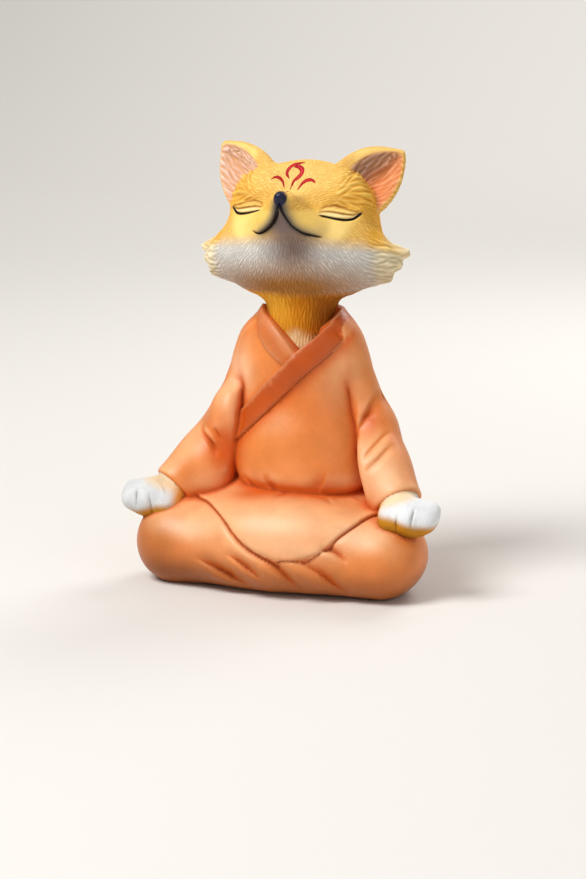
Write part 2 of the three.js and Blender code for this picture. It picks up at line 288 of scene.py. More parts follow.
# Short creases on the top of the lap, as (x, y)
lap_creases = [
    crease(drawn((4.3, -9.6), (3, -11.2), (1.4, -12.8), (0.1, -14.8)), 0.7, 0.4, 1.4),
    crease(drawn((11, -11.2), (13.6, -10), (16.2, -9.6), (17.8, -11.4), (18.4, -13.6)), 1.2, 0.35, 0.6),
]
# The fold of cloth over the lap runs from its top down its front, so its edge is drawn as (x, y + z).
apron_edge = drawn(
    (-30, 20), (-26.5, 15.9), (-22.4, 12.1), (-17.3, 5.2), (-12.7, -1.4), (-8.3, -7.9),
    (-3.2, -13.1), (3.7, -15.9), (8.7, -15.8), (13.5, -14.7),
    (19.5, -10.1), (23.4, -3), (26.5, 3.3), (29.6, 11.9), (33, 16),
)


def trunk_relief(p):
    """How far the cloth of the trunk stands out."""
    x, y, z = p.T
    front = ramp(-y, -14, -10)
    top, foot = lapel_top(x, z)[0], lapel_foot(x, z)[0]
    over = ramp(-top, -EDGE, EDGE) * ramp(foot, -EDGE, EDGE)
    under = 0.7 * ramp(top, -EDGE, EDGE) * ramp(-under_lapel(x, z)[0], -EDGE, EDGE)
    behind = ramp(z - COLLAR_TOP + COLLAR_WIDTH, -EDGE, EDGE)
    height = CLOTH_STEP * (behind + (np.maximum(over, under) - behind) * front)
    return height + front * sum(fold(x, z) for fold in belly_creases)


def cuff_end(p):
    """How far past the open end of the sleeve, which is square to the forearm."""
    return (p - CUFF) @ (0.53, -0.54, -0.65)


def where_near(values, reach, form, p, extra=True):
    """Takes a relief off the distances that are near the surface."""
    near = (np.abs(values) < reach) & extra
    values[near] -= form(p[near])
    return values


def robe_trunk(p):
    """The robe over the belly, chest and shoulders, open at the neck."""
    # No layer of cloth stands out beside the sleeves.
    clear = ramp(sleeve(one_side(p)), 0.3, 2.5)
    body = trunk(p)
    near = np.abs(body) < 4
    body[near] -= trunk_relief(p[near]) * clear[near]
    near = (np.abs(body) < 6) & (p[:, 2] > 60)
    x, y, z = p[near].T
    front = np.minimum(neck_right(x, z)[0], neck_left(x, z)[0])
    opening = (z - COLLAR_TOP) + (front - z + COLLAR_TOP) * ramp(-y, -14, -10)
    body[near] = soft_max(body[near], opening, 0.6)
    return body


def robe_sleeves(p):
    """Both sleeves, cut off beside the trunk and at the cuffs."""
    x, y, z = p.T
    arm = soft_min(sleeve(one_side(p)), elbow_fold(p), 4)
    arm = where_near(arm, 4, lambda q: sum(fold(q[:, 0], q[:, 2]) for fold in sleeve_creases), p, y < 14)
    past = np.where(x < 0, right_arm_edge(x, z)[0], -left_arm_edge(x, z)[0])
    arm = soft_max(arm, past - 30 * ramp(y, 4, 10) - 9 * ramp(z, 53, 66), 2.5)
    return soft_max(arm, cuff_end(one_side(p)), 0.9)


def lap_relief(p):
    """How far the cloth over the legs stands out."""
    x, y, z = p.T
    front = ramp(-y, -6, 0)
    left = apron_edge(x, y + z)[0]
    height = sum(fold(x, z) for fold in leg_creases) * front
    height += sum(fold(x, y) for fold in lap_creases) * ramp(z, 20, 23)
    return height + (CLOTH_STEP * ramp(left, -EDGE, EDGE) - 0.3 * bell(left + 0.5, 0.4)) * front


def robe_lap(p):
    """The robe over the folded legs."""
    lap = soft_min(soft_min(legs(p), front_shin(p), 3), apron(p), 4)
    return where_near(lap, 4, lap_relief, p, p[:, 1] < 6)


def robe(p):
    """The whole robe."""
    body, arms = robe_trunk(p), robe_sleeves(p)
    # The sleeves run smoothly into the shoulders and stand apart from the trunk below.
    fillet = 1 + 5 * ramp(p[:, 2], 55, 66)
    return soft_min(soft_min(body, arms, fillet), robe_lap(p), 1.5)


# The fox
skull = blend(
    6,
    ball((0, 18, 107), (22.5, 14.2, 18)),
    ball((0, 12.5, 97.5), (26, 15.5, 15)),
    limb((0, 10, 96), 12, (0.2, -3.2, 112.4), 4),
    ball((13, 12, 112.5), (9, 6, 9.3)),
    ball((-13, 12, 112.5), (9, 6, 9.3)),
)
lips = pair(limb((1, -4.2, 111.6), 3.1, (8.2, 0, 105.6), 3.6), 1)
cheeks = pair(
    blend(
        1.5,
        limb((10, 10.5, 98), 13.4, (24, 11, 95.5), 6),
        limb((24, 11.5, 97.2), 5, (32.5, 14.7, 97.8), 1.4),
        limb((24, 11, 95), 5, (30.4, 12.6, 94.4), 1.9),
        limb((23, 10.5, 92.8), 4.8, (27.8, 10.8, 91), 2),
    ),
    8,
)
nose = ball(NOSE_TIP, (2.1, 2.1, 2))
nose_paint = ball((0.3, -7, 114.8), (2, 2.8, 2.3))
neck = limb((0, NECK_Y, 60), NECK_RADIUS, (0, NECK_Y, 92), NECK_RADIUS)
eyelid = ball((14.6, 9.2, 110.3), (6.5, 4.5, 2.9))
# Lines of the eyes and the mouth, as (x, z), the right side's folded onto the left
lid_foot = drawn(
    (9.2, 109.9), (12, 109.1), (14.5, 108.5), (16.8, 108.2), (18.6, 108.4), (19.7, 109.2), (20.8, 110.4)
)
lid_rim = drawn((9.4, 110.4), (11.5, 110.5), (14, 110.2), (16.6, 109.7), (18.8, 109.5), (20, 110))
lid_top = drawn((8.9, 110.6), (10.4, 111.8), (12.8, 112.1), (15.6, 111.5), (18.2, 110.7), (20.4, 110.3))
lid_creases = [
    crease(lid_foot, 0.5, 0.9, 0.35),
    crease(lid_rim, 0.3, 0.45),
    crease(lid_top, 0.35, 0.5, 0.8),
]
EYE_RISE = 0.9  # how much higher the fox's right eye sits
mouth_left = drawn(
    (0.3, 113.8), (1, 111.4), (1.9, 109.4), (3.5, 106.6), (6.3, 104.6), (9.6, 103.8), (12.2, 103.2)
)
mouth_right = drawn((-0.3, 113.8), (0.4, 110.8), (2.2, 107.8), (5.1, 105.3), (8, 104), (10.4, 104.9))
paw = blend(
    2,
    limb((35, -1.6, 26.2), 6.4, (38.5, -6, 22.5), 5.6),
    ball(PAW, (9.1, 6, 6.2)),
    blend(
        0.8,
        limb((47.9, -8, 24), 2.9, (47.3, -11.5, 21.8), 3),
        limb((44.3, -9, 24.3), 2.5, (42, -12.8, 21.5), 3.1),
        limb((40, -9.5, 23.6), 2.5, (36.2, -12.3, 20.8), 2.9),
    ),
)
toe_clefts = [
    crease(drawn((44.6, 26.2), (44, 23), (43.8, 19)), 0.4, 0.8),
    crease(drawn((40, 25), (39.3, 21.5), (39.1, 18)), 0.4, 0.6),
]
mitt_rim = crease(drawn((45, 28.7), (40.3, 28.2), (37.5, 27), (36, 25.4), (35, 22.6)), 0.35, -0.35)
ear_knob = ball((-27.7, 23, 127.7), (2.2, 1.9, 2.1))  # the rounded tip of its right ear

# The ear's own directions: up to its tip, across it, and out of its cup
ear_up = EAR_TIP - EAR_BASE
EAR_LENGTH = np.linalg.norm(ear_up)
ear_up = ear_up / EAR_LENGTH
ear_across = np.array([-0.733, 0.01, 0.68])
ear_across = ear_across - ear_across @ ear_up * ear_up
ear_across /= np.linalg.norm(ear_across)
ear_out = np.cross(ear_up, ear_across)
ear_arc = ((EAR_LENGTH - EAR_WIDEST) ** 2 + EAR_WIDTH**2 / 4) / EAR_WIDTH
ear_arc_middle = ear_arc - EAR_WIDTH / 2


def ear_place(p):
    """Where places lie in the measures of the ear: up, across and out of its cup, and how far
    outside its outline and its hollow."""
    lean = np.where(p[:, 0] > 0, EAR_LEAN * ramp(p[:, 0], EAR_BASE[0], EAR_TIP[0]), 0)
    q = one_side(p) + np.outer(lean, (0, 0, 1)) - EAR_BASE
    up, across, out = q @ ear_up, q @ ear_across, q @ ear_out
    inner = np.hypot(up - EAR_WIDEST, across + ear_arc_middle) - ear_arc
    outer = np.hypot(up - EAR_WIDEST, across - ear_arc_middle) - ear_arc
    hollow = soft_max(inner + 4 * (1 - up / EAR_LENGTH), outer, 2)
    cupped = out + EAR_CUP * ramp(-hollow, 0, EAR_WIDTH * 0.35)
    return up, across, cupped, soft_max(inner, outer, 1), hollow


def ear(p):
    """Both ears, thinner towards their tips."""
    up, _, out, outline, _ = ear_place(p)
    thick = 2.4 - 0.9 * up / EAR_LENGTH
    return soft_max(soft_max(outline, -up - 7, 2), (np.abs(out) - thick) * 0.8, 2.2)


def eye_level(p):
    """Both eyes folded onto the fox's left one."""
    return one_side(p) - np.outer(ramp(-p[:, 0], 2, 8), (0, 0, EYE_RISE))


def mouth(p):
    """How far above the line of the mouth places are, and how far along it."""
    wide = np.abs(p[:, 0])
    left, right = mouth_left(wide, p[:, 2]), mouth_right(wide, p[:, 2])
    return [np.where(p[:, 0] > 0, a, b) for a, b in zip(left, right)]


def face_relief(p):
    """The lids and the mouth, pressed into the face."""
    x, y, z = eye_level(p).T
    height = sum(fold(x, z) for fold in lid_creases)
    left, along = mouth(p)
    overhang = 0.7 * ramp(left, -0.3, 0.3) * bell(left, 4) * ramp(1 - along, 0, 0.5)
    groove = 0.6 * bell(left, 0.4) * ramp(1 - along, 0, 0.12)
    return height + (overhang - groove) * ramp(-y, -8, -4)


def head(p):
    """The skull with its cheek locks, lips and closed eyes."""
    face = soft_min(soft_min(skull(p), cheeks(p), 4), lips(p), 3)
    near = (np.abs(face) < 4) & (p[:, 1] < 14) & (p[:, 2] > 94)
    face[near] = soft_min(face[near], eyelid(eye_level(p[near])), 0.8)
    return where_near(face, 4, face_relief, p, near)


def toes_relief(p):
    """The clefts between the toes, and the rim of the white mitt."""
    x, y, z = one_side(p).T
    front = ramp(-y, 5, 8)
    return (sum(cleft(x, z) for cleft in toe_clefts) + mitt_rim(x, z)) * front


def fur(p):
    """All of the fox that the robe leaves bare."""
    whole = soft_min(head(p), soft_min(ear(p), ear_knob(p), 1.5), 1.3)
    whole = soft_min(soft_min(whole, neck(p), 4), nose(p), 0.8)
    return np.minimum(whole, where_near(paw(one_side(p)), 2, toes_relief, p))


def figurine(p):
    """The whole casting, cut flat underneath."""
    return np.maximum(soft_min(robe(p), fur(p), 0.5), MIDDLE[2] - p[:, 2])


# Arrays in and out of a mesh

def read(mesh, attribute="co", size=3):
    """An array of what the mesh's vertices hold: their places, normals, or an attribute."""
    if attribute == "co":
        source, key = mesh.vertices, "co"
    elif attribute == "normal":
        source, key = mesh.vertex_normals, "vector"
    else:
        source, key = mesh.attributes[attribute].data, "value"
    values = np.empty(len(mesh.vertices) * size, np.float32)
    source.foreach_get(key, values)
    return values.reshape(-1, size).astype(float) if size > 1 else values.astype(float)


def places(mesh):
    """Where the vertices are, in the millimetres of the forms."""
    return read(mesh) / MM + MIDDLE


def put(mesh, p):
    """Moves the vertices to places in millimetres."""
    mesh.vertices.foreach_set("co", ((p - MIDDLE) * MM).astype(np.float32).ravel())
    mesh.update()


def keep(mesh, name, values):
    """Keeps a number or a colour for each vertex as an attribute of the mesh."""
    kind, key = ("FLOAT", "value") if values.ndim == 1 else ("FLOAT_COLOR", "color")
    layer = mesh.attributes.get(name) or mesh.attributes.new(name, kind, "POINT")
    layer.data.foreach_set(key, values.astype(np.float32).ravel())


def modified(name, mesh, kind, **settings):
    """A new mesh from one modifier on a mesh."""
    holder = bpy.data.objects.new(name, mesh)
    bpy.context.collection.objects.link(holder)
    modifier = holder.modifiers.new(name, kind)
    for key, value in settings.items():
        setattr(modifier, key, value)
    graph = bpy.context.evaluated_depsgraph_get()
    made = bpy.data.meshes.new_from_object(holder.evaluated_get(graph))
    bpy.data.objects.remove(holder)
    return made


def settle(mesh, form, rounds):
    """Moves each vertex along its normal until it lies on the form's surface, and eases it sideways
    so that the mesh stays even."""
    probe = 0.05
    for _ in range(rounds):
        p, n = places(mesh), read(mesh, "normal")
        gap = form(p)
        slope = np.clip((form(p + probe * n) - gap) / probe, 0.35, 1.5)
        drift = smoothed(mesh, p, 1) - p
        drift -= n * dots(drift, n)[:, None]
        put(mesh, p + drift - n * np.clip(gap / slope, -0.5, 0.5)[:, None])


def smoothed(mesh, p, rounds):
    """The places of the vertices, each eased towards the mean of its neighbours in every round."""
    pairs = np.empty(len(mesh.edges) * 2, np.int32)
    mesh.edges.foreach_get("vertices", pairs)
    a, b = pairs.reshape(-1, 2).T
    count = np.bincount(a, minlength=len(p)) + np.bincount(b, minlength=len(p))
    for _ in range(rounds):
        total = [np.bincount(a, p[b, k], len(p)) + np.bincount(b, p[a, k], len(p)) for k in range(3)]
        p = (p + np.array(total).T / count[:, None]) / 2
    return p


# The fur

def lie_of_fur(p, n):
    """Which way the fur lies, how far apart its strokes are, how long and how deep."""
    x, y, z = p.T
    side = np.sign(x)
    wide = np.abs(x)
    count = len(p)
    down = np.tile((0.0, 0.0, -1.0), (count, 1))

    # On the cheeks it runs back from the nose.
    lie = np.column_stack([x, (y + 5) * 0.8, z - 114])
    lie /= np.linalg.norm(lie, axis=1)[:, None]
    spacing, length, depth = np.full(count, 0.75), np.full(count, 3.4), np.full(count, 0.3)

    def region(share, direction, new_spacing, new_length, new_depth):
        nonlocal lie, spacing, length, depth
        lie = lie + (direction - lie) * share[:, None]
        spacing = spacing + (new_spacing - spacing) * share
        length = length + (new_length - length) * share
        depth = depth + (new_depth - depth) * share

    # The forehead, up in the middle and then out and down to the temples, and deeper over the eyes
    turn = ramp(wide, 1.5, 9)
    droop = turn * (1 + 0.3 * ramp(wide, 10, 20))
    brow = np.column_stack([side * turn, np.full(count, 0.5), 1.1 - droop])
    region(ramp(z, 108.5, 112), brow, 0.75, 2.3, 0.22)
    eye_x, _, eye_z = eye_level(p).T
    over_eye = bell(eye_x - 14.5, 7) * bell(eye_z - 114.5, 2.4) * ramp(-y, -16, -8)
    region(over_eye, brow, 0.85, 2.6, 0.34)
    # The back of the head, and the throat
    region(ramp(y, 16, 24), down, 1.3, 5, 0.2)
    region(ramp(-z, -88, -84), down, 1, 8, 0.42)
    # The cheek locks
    outward = np.column_stack([side, np.full(count, 0.2), (z - 96) * 0.05])
    region(ramp(wide, 22, 27) * ramp(-z, -104, -100), outward, 1.7, 8, 0.6)
    # The hair in the cups of the ears, spread like a fan
    up, across, _, outline, hollow = ear_place(p)
    fan = np.outer(up + 6, ear_up) + np.outer(across - 1, ear_across)
    fan /= np.linalg.norm(fan, axis=1)[:, None]
    fan[:, 0] *= np.where(x < 0, -1, 1)
    cup = ramp(-hollow, 0.4, 2) * ramp(z, 111, 114) * ramp(wide, 13, 16)
    region(cup, fan, 1.9, 9, 0.7)

    # The muzzle and the skin round the eyes are smooth, and so, nearly, are the backs of the ears.
    cheek = ramp(104.6 - 0.12 * wide - z, -1.5, 4)
    forehead = ramp(z - 111.2 + 0.25 * np.maximum(wide - 16, 0), -0.8, 1.2)
    forehead *= 1 - 0.75 * bell(x, 4.5) * ramp(-z, -121, -114)
    temple = ramp(wide + 0.5 * (109 - z), 18, 25)
    behind = ramp(y, 12, 16)
    furred = np.clip(cheek + forehead + temple + behind, 0, 1)
    back_of_ear = ramp(-outline, 0.2, 1.2) * ramp(z, 112, 116) * ramp(wide, 14, 17) * (1 - cup)
    hand = ramp(-z, -45, -40)
    furred = np.maximum(furred * (1 - 0.9 * back_of_ear), hand)
    region(hand, down, 0.5, 2, 0.06)
    lie -= n * dots(lie, n)[:, None]
    lie /= np.maximum(np.linalg.norm(lie, axis=1), 1e-6)[:, None]
    return lie, spacing, length, depth * furred


# A stroke's profile, as shares of the spacing and of half a stroke's length
STROKE_WIDTH = 0.34  # how far from its middle a stroke is still a third of its depth
CLEAR_ACROSS, CLEAR_ALONG = 0.78, 0.75  # how near no other stroke starts
STRAY = 0.12  # how far strokes stray from the lie of the fur


def comb(p, n, lie, spacing, length, rows, seed):
    """Short strokes of a carving tool, scattered so that they lie side by side along the fur.
    Gives how deep each place is in a stroke, from 0 to 1."""
    tree = kdtree.KDTree(len(rows))
    for i, row in enumerate(rows):
        tree.insert(p[row], i)
    tree.balance()
    q, across = p[rows], np.cross(n[rows], lie[rows])
    along = lie[rows]
    taken = np.zeros(len(rows), bool)
    deep = np.zeros(len(rows))
    rng = np.random.default_rng(seed)
    spread = rng.normal(0, STRAY, len(rows))
    for i in rng.permutation(len(rows)):
        if taken[i]:
            continue
        half = length[rows[i]] / 2
        gap = spacing[rows[i]]
        near = np.array([hit[1] for hit in tree.find_range(q[i], half)])
        step = q[near] - q[i]
        u = step @ (across[i] + spread[i] * along[i]) / gap
        v = step @ along[i] / half
        taken[near[(u / CLEAR_ACROSS) ** 2 + (v / CLEAR_ALONG) ** 2 < 1]] = True
        mark = bell(u, STROKE_WIDTH) * np.clip(1 - v * v, 0, 1)
        deep[near] = np.maximum(deep[near], mark)
    whole = np.zeros(len(p))
    whole[rows] = deep
    return whole


# Paint

def linear(hexes):
    """An sRGB hex colour as linear red, green and blue."""
    parts = np.array([int(hexes[i : i + 2], 16) / 255 for i in (1, 3, 5)])
    return np.where(parts < 0.04045, parts / 12.92, ((parts + 0.055) / 1.055) ** 2.4)


def sprayed(coat, *passes):
    """Passes of the airbrush over a coat, each a colour and how much of the coat it covers."""
    for colour, share in passes:
        coat = coat + (colour - coat) * np.clip(share, 0, 1)[:, None]
    return coat


def spot(p, at, size):
    """A soft spot of the airbrush, 1 in its middle."""
    q = (p - np.array(at)) / np.array(size)
    return np.exp(-dots(q, q))


def spots(p, colour, marks):
    """Passes of one colour in several soft spots, each with its place, size and share."""
    return [(colour, share * spot(p, at, size)) for at, size, share in marks]


# How much of the red, green and blue under it the dark in the strokes and hollows lets through:
# golden brown on the yellow fur, and greyer on the white. In the strokes it is brown paint deepened
# by painted shade, and in the small hollows painted shade.
YELLOW_PAINT_AND_SHADE, WHITE_PAINT_AND_SHADE = (0.7, 0.48, 0.2), (0.56, 0.52, 0.46)


def paint_fur(p, hollow_fine, stroke, paint):
    """The colours of the fur, sprayed over one another as on the real piece, with painted light and painted
    shade added.
    """
    x, y, z = p.T
    q = one_side(p)
    wide = q[:, 0]
    front, right = ramp(-y, -16, -8), ramp(-x, -2, 2)

    # The head, from the crown down to the white cheeks, their locks and the throat
    white = ramp(103.2 - 0.1 * wide - z + stroke, -2.4, 4) * ramp(z, 83, 87) * front
    tip = ramp(wide, 23, 28) * ramp(-z, -104, -100) * ramp(z, 84, 88)
    root = ramp(wide, 22, 25) * ramp(z - 0.35 * (30 - wide), 97, 99.5)
    throat = ramp(-z, -87, -83.5)
    coat = sprayed(
        np.tile(paint["gold"], (len(p), 1)),
        (paint["amber"], 0.45 * ramp(wide, 17, 24) * ramp(-z, -116, -110)),
        (paint["cream"], spot(p, (0, 8, 120), (20, 18, 9))),
        (paint["cream"], 0.85 * spot(q, (14, 4, 104.8), (12, 12, 5.5))),
        # Ochre over the eyes: partly the brow's own paint and partly painted shade under the brow
        (paint["ochre"], 0.35 * spot(eye_level(p), (15.5, 6, 113.8), (7, 9, 1.6))),
        (paint["white"], white),
        (paint["tuft"], tip),
        (paint["gold"], 0.8 * root * front),
        (paint["mauve"], 0.97 * spot(p, (3.5, -5, 100), (9, 14, 9)) * front),
        (paint["jaw"], 1.1 * spot(p, (1, 2, 88), (26, 18, 7))),
        (paint["throat"], throat),
        # Painted light on the throat's right side and painted shade on its left
        (paint["gold"], 0.75 * throat * ramp(-x, -3, 6)),
        (paint["throat_shade"], 0.8 * throat * ramp(x, 3, 9)),
        (paint["tuft"], 0.9 * ramp(79 - z - 0.5 * np.abs(x - 1.5), 2.5, 7) * front),
    )

    # The muzzle, with grey and black along the mouth and under the nose
    left, along = mouth(p)
    by_lips = ramp(-y, -8, -3) * ramp(along, -0.05, 0.02)
    inside = ramp(1 - along, 0, 0.3)
    above = ramp(left, -0.2, 0.2) * by_lips * inside * ramp(115 - z, -0.6, 0.8)
    snout, chin = spot(q, (6.5, -3, 109.5), (5.5, 9, 6)), spot(p, (1, -6, 107.5), (7, 10, 6))
    coat = sprayed(
        coat,
        (paint["muzzle"], 0.9 * ramp(left, -0.2, 0.6) * inside * snout),
        (paint["mauve"], 1.2 * ramp(-left, -0.2, 0.3) * inside * chin),
        (paint["grey"], 0.95 * above * bell(left, 2.4 - 0.6 * along) * (1 - 0.4 * along)),
        (paint["soot"], 0.95 * above * bell(left, 2 - 1.4 * along)),
        (paint["soot"], 0.95 * spot(p, (0.3, -7, 112.6), (1.9, 4, 1.8))),
        (paint["soot"], 0.6 * bell(left, 1) * ramp(-left, -0.2, 0.2) * by_lips * inside),
    )

    # The ears, orange at their feet and paler inside the right one, with painted shade under the rim of each
    # cup
    up, across, out, _, hollow = ear_place(p)
    on_ear = ramp(head(p) - ear(p), -0.1, 0.5)
    cup = ramp(-hollow, 0.5, 1.6) * ramp(out, -0.4, 0.6) * on_ear
    shaded = (0.95 - 0.8 * right) * ramp(across, -3, 3) * ramp(up, -3, 5)
    coat = sprayed(
        coat,
        (paint["ear"], 0.9 * on_ear),
        (paint["orange"], 0.7 * on_ear * ramp(-up, -4, 2) * ramp(y, 14, 17)),
        (paint["flesh"], cup),
        (paint["pink"], cup * right),
        (paint["flesh_shade"], cup * shaded),
        (paint["orange"], 0.4 * cup * ramp(-up, -5, 1)),
    )

    # The closed lids, pale between brown lines
    eye_x, _, eye_z = eye_level(p).T
    lid = ramp(eye_x, 8.8, 10) * ramp(-eye_x, -20.6, -19.4) * front
    foot, rim, top = [line(eye_x, eye_z)[0] for line in (lid_foot, lid_rim, lid_top)]
    coat = sprayed(
        coat,
        (paint["cream"], 0.5 * lid * ramp(rim, -0.1, 0.3) * ramp(-top, -0.1, 0.3)),
        # A painted shadow along the crease at the top of each lid
        (paint["throat_shade"], 0.75 * lid * bell(top - 0.1, 0.32)),
        (paint["lid"], lid * ramp(foot, 0, 0.4) * ramp(-rim, 0, 0.3)),
        (paint["throat_shade"], 0.9 * lid * bell(rim - 0.1, 0.28)),
    )

    # The paws, white on the toes and golden brown under them
    hand = ramp(-z, -45, -40)
    toes = ramp(26.5 - z + 0.35 * (wide - 38), -1.2, 1.6) * ramp(wide, 32, 34)
    low = 22.9 - 0.3 * np.clip(wide - 37, 0, 8) - 2 * right - z
    coat = sprayed(
        coat,
        (paint["wrist"], hand),
        (paint["amber"], 0.9 * hand * ramp(34.5 - wide, 0, 3) * ramp(28 - z, 0, 2)),
        (paint["paw"], hand * toes),
        (paint["grey"], 0.2 * hand * right * ramp(wide, 34, 38)),
        (paint["gilt"], hand * ramp(low, -1.2, 1.4)),
        # Painted shade on the undersides of the paws
        (paint["throat_shade"], 0.9 * hand * ramp(low, 2.2, 5)),
    )

    # The strokes take brown paint deepened by painted shade, and the small hollows painted shade.
    pale = np.max([white, hand, 0.7 * tip], axis=0)
    shade = coat * sprayed(np.tile(YELLOW_PAINT_AND_SHADE, (len(p), 1)), (WHITE_PAINT_AND_SHADE, pale))
    return sprayed(coat, (shade, 0.85 * stroke), (shade * 0.7, 0.8 * ramp(hollow_fine, 0.06, 0.3)))


# Soft spots of painted light, painted highlight and painted shade on the robe: the middle and size of each,
# and how much it covers there
PAINTED_LIGHT_SPOTS = (
    ((2, -20, 15), (18, 9, 7), 0.9),
    ((-15.5, 4, 61), (5, 9, 8), 0.9),
    ((17, 4, 63), (5, 9, 8), 0.7),
    ((12, -4, 58), (5, 9, 7), 0.2),
    ((33, -8, 31), (6, 10, 8), 0.7),
    ((-24, -4, 27), (6, 6, 3), 0.9),
)
PAINTED_HIGHLIGHT_SPOTS = (
    ((8, -22, 20), (14, 6, 5), 0.35),
    ((10, -26, 13.5), (13, 4, 3), 0.4),
    ((29, -19, 17), (7, 6, 4), 0.6),
    ((33, -7, 32), (5, 8, 6), 0.6),
    ((-17, 3, 61), (4, 6, 6), 0.6),
    ((-24, -21, 16), (7, 5, 4), 0.6),
)
PAINTED_SHADE_SPOTS = (
    ((-18.5, -3, 39), (5.5, 9, 9), 0.95),
    ((25, 2, 48), (3.2, 9, 4.5), 0.9),
    ((-24, 0, 38.5), (3, 8, 3.5), 0.6),
    ((-6, -11, 25.5), (7, 5, 3), 0.8),
    ((3, -10, 28), (19, 7, 3), 0.9),
    ((15, -10, 30), (5, 8, 4), 0.6),
)


def paint_robe(p, n, hollow_fine, hollow_broad, paint):
    """The robe: orange, with painted shade, redder, in its folds and creases and towards the bottom, and
    painted light and highlights, peach, on what faces up and stands out. Also gives how far each
    place is down in a crevice."""
    x, y, z = p.T
    body, arms, lap = robe_trunk(p), robe_sleeves(p), robe_lap(p)
    front = ramp(-y, -14, -8)
    facing_up = ramp(n @ (-0.15, -0.5, 0.85), 0.7, 0.97)
    foot, top = lapel_foot(x, z)[0], lapel_top(x, z)[0]
    bare = ramp(arms, 0, 1.5) * (body < 1)
    band = ramp(-top, -EDGE, EDGE) * ramp(foot, -EDGE, EDGE) * bare
    other = ramp(top, -EDGE, EDGE) * ramp(-under_lapel(x, z)[0], -EDGE, EDGE) * bare
    behind = ramp(z - COLLAR_TOP + COLLAR_WIDTH, -EDGE, EDGE) * (body < 1)
    meet = np.sort(np.abs([body, arms, lap]), axis=0)[1]
    coat = sprayed(
        np.tile(paint["robe"], (len(p), 1)),
        # Painted light, peach, on what faces up towards the light, on the ridges and in soft spots
        (paint["robe_light"], 0.7 * facing_up * ramp(-z, -66, -56)),
        (paint["robe_light"], 0.7 * ramp(-hollow_broad, 0.08, 0.45) * ramp(z, 8, 16)),
        *spots(p, paint["robe_light"], PAINTED_LIGHT_SPOTS),
        # Paler painted highlights on the crests
        *spots(p, paint["robe_shine"], PAINTED_HIGHLIGHT_SPOTS),
        # Painted shade: a painted shadow over the front of its right knee, a faint shade on the chest,
        # darker towards the bottom and on the outside of the right knee
        (paint["robe_low"], 0.6 * spot(p, (-35, -18, 9), (9, 9, 7))),
        (paint["robe_low"] * 0.5, 0.8 * spot(p, (-30, -20, 0), (15, 9, 5))),
        (paint["robe_deep"], 0.25 * spot(p, (8, -3, 52), (9, 8, 9))),
        (paint["robe_low"], 0.8 * ramp(-z, -10, 1)),
        (paint["robe_low"], 0.5 * ramp(-x, 33, 46) * ramp(-z, -26, -12)),
        # Painted shade, red-orange, in the broad hollows and the folds
        (paint["robe_deep"], 0.6 * ramp(hollow_broad, 0.08, 0.5)),
        *spots(p, paint["robe_deep"], PAINTED_SHADE_SPOTS),
        (paint["robe_band"], front * (0.92 * band + 0.5 * other)),
        # A painted highlight along the upper edge of the collar's band
        (paint["robe_light"], 0.3 * front * band * bell(top + 0.4, 0.3)),
        (paint["robe_band"], 0.8 * (1 - front) * behind),
        # Painted shade where the trunk, the sleeves and the lap meet
        (paint["robe_deep"], 0.7 * bell(meet, 1.5)),
        (paint["robe_dark"], 0.85 * bell(meet, 0.6)),
        # A painted shadow under the foot of the collar's band
        (paint["robe_deep"], 0.7 * front * bell(foot + 0.8, 2) * ramp(-foot, 0, 0.5)),
        # Painted shade in the small creases
        (paint["robe_dark"], 0.6 * ramp(hollow_fine, 0.06, 0.35)),
    )
    return coat, np.maximum(bell(meet, 1), ramp(hollow_fine, 0.04, 0.25))


def shadow_line_gap(p):
    """How far from the thin painted shadow lines along the robe's layers, in its sharpest folds, where its
    parts meet and at the cuffs.
    """
    x, y, z = p.T
    body, arms, lap = np.abs([robe_trunk(p), robe_sleeves(p), robe_lap(p)])
    on_trunk = (y < 8) & (body < 0.6) & (arms > 0.8)
    left, along = lapel_foot(x, z)
    foot = np.where(on_trunk, np.abs(left + 0.2) + 0.15 * ramp(-along, -0.5, 0), FAR)
    on_under = on_trunk & (lapel_top(x, z)[0] > 0.4)
    under = np.where(on_under, np.abs(under_lapel(x, z)[0] - 0.1) + 0.1, FAR)
    apron_line = np.where((lap < 0.6) & (y < 2), np.abs(apron_edge(x, y + z)[0] + 0.25), FAR)
    cuff = np.maximum(np.abs(fur(p)), arms) + np.where(z < 45, -0.1, FAR)
    in_front = y < 12
    meeting = np.sort([body, arms, lap], axis=0)[1] + np.where(in_front, 0.05, FAR)
    folds = []
    for line in (elbow_right, elbow_left, shin_outer, shin_inner, thigh_low, thigh_high):
        left, along = line(x, z)
        fade = 0.3 - 0.22 * np.sin(np.pi * along)
        folds.append(np.where(in_front, np.abs(left - 0.05) + fade, FAR))
    return np.min([foot, under, apron_line, cuff, meeting, *folds], axis=0)


# The strokes of the flame painted on the forehead, as (x, z), and then each with its half width
flame_tip = drawn(
    (-2.5, 119.8), (-3.5, 120.8), (-3.8, 121.9), (-3.5, 122.9), (-2.8, 123.5), (-1.6, 123.9), (0.4, 124.3)
)
flame_curl = drawn(
    (-2.1, 122.9), (-1.3, 123.1), (-0.2, 122.9), (0.9, 122),
    (0.8, 120.9), (0.1, 120), (-0.9, 118.9), (-1.3, 116.6),
)
flame_right = drawn((-8.1, 119.3), (-7.3, 120), (-6.4, 120.1), (-5.3, 119.7), (-4.2, 118.7), (-3.3, 116.8))
flame_left = drawn((6.4, 118.6), (5.1, 119.4), (3.8, 119.5), (2.8, 119.1), (1.8, 118.1), (1.1, 116.4))
MARK = ((flame_tip, 0.58), (flame_curl, 0.66), (flame_right, 0.42), (flame_left, 0.54))


